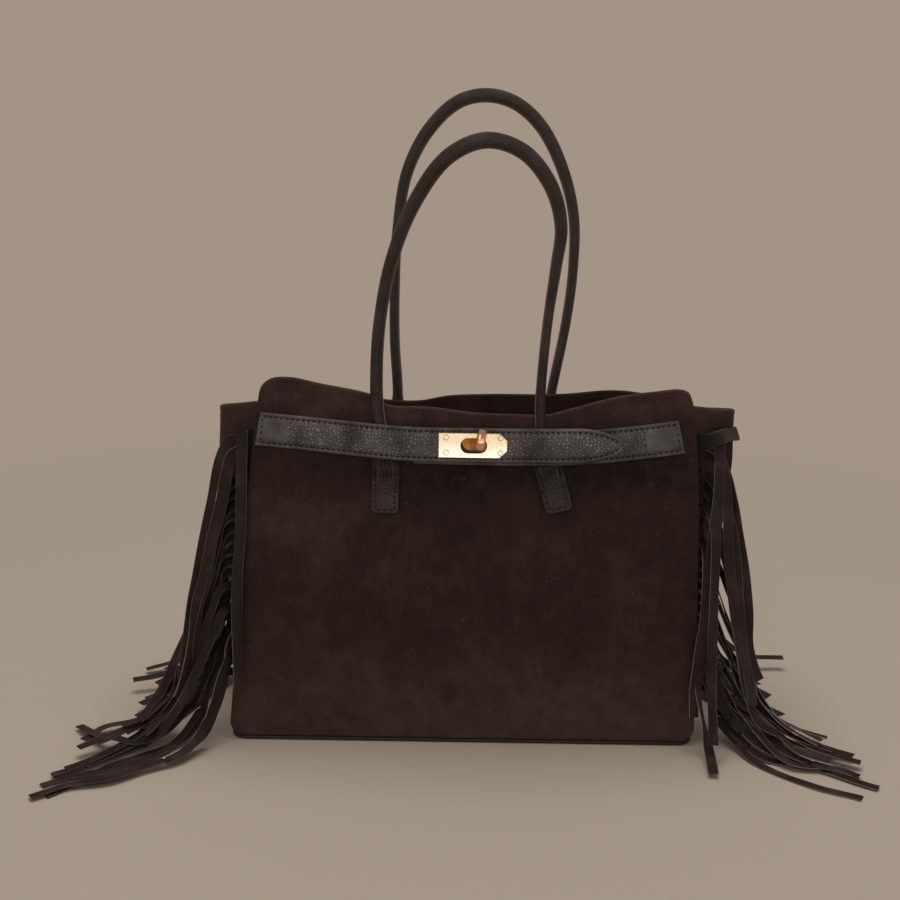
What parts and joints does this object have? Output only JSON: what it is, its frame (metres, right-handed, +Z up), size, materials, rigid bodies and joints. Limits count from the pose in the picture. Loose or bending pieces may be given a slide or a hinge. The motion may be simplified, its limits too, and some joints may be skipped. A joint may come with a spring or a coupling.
{
  "type": "fringed suede bag",
  "caption": "Open-topped suede shoulder bag with a belt and turn lock across the front, rolled leather handles and long fringe in the side seams.",
  "frame": {"origin": "middle of the base's underside, on the surface that the bag stands on", "axes": "+X to the right as seen from the front, +Y from the front to the back, +Z up; the lock is on the -Y side"},
  "size_m": [0.7809, 0.2609, 0.5447],
  "materials": {
    "suede": "matt brushed nap",
    "fringe_suede": "matt brushed nap, cut edges",
    "grained_leather": "pebbled, satin",
    "handle_leather": "satin, rolled",
    "base_leather": "smooth, satin",
    "lining_cloth": "dark brown woven cloth",
    "board": "stiff fibre board",
    "pale_gold": "polished pale gold plate"
  },
  "bodies": {
    "bag": {"front_panel": "suede", "back_panel": "suede", "left_gusset": "suede", "right_gusset": "suede", "base_panel": "base_leather", "base_board": "board", "lining": "lining_cloth", "front_handle": "handle_leather", "rear_handle": "handle_leather", "fringe_front_left": "fringe_suede", "fringe_back_left": "fringe_suede", "fringe_front_right": "fringe_suede", "fringe_back_right": "fringe_suede", "closure_strap": "grained_leather", "under_strap": "grained_leather", "lock_plate": "pale_gold", "lock_back_plate": "pale_gold", "plate_screw_1": "pale_gold", "plate_screw_2": "pale_gold", "plate_screw_3": "pale_gold", "plate_screw_4": "pale_gold", "turn_base": "pale_gold", "turn_washer": "pale_gold"},
    "knob": {"turn_knob": "pale_gold"}
  },
  "joints": [
    {"name": "knob_turn", "type": "hinge", "parent": "bag", "child": "knob", "pos_m": [0.012, -0.06855, 0.26513], "axis": [0, 0.9911, -0.133], "range_deg": [-12, 78]}
  ]
}
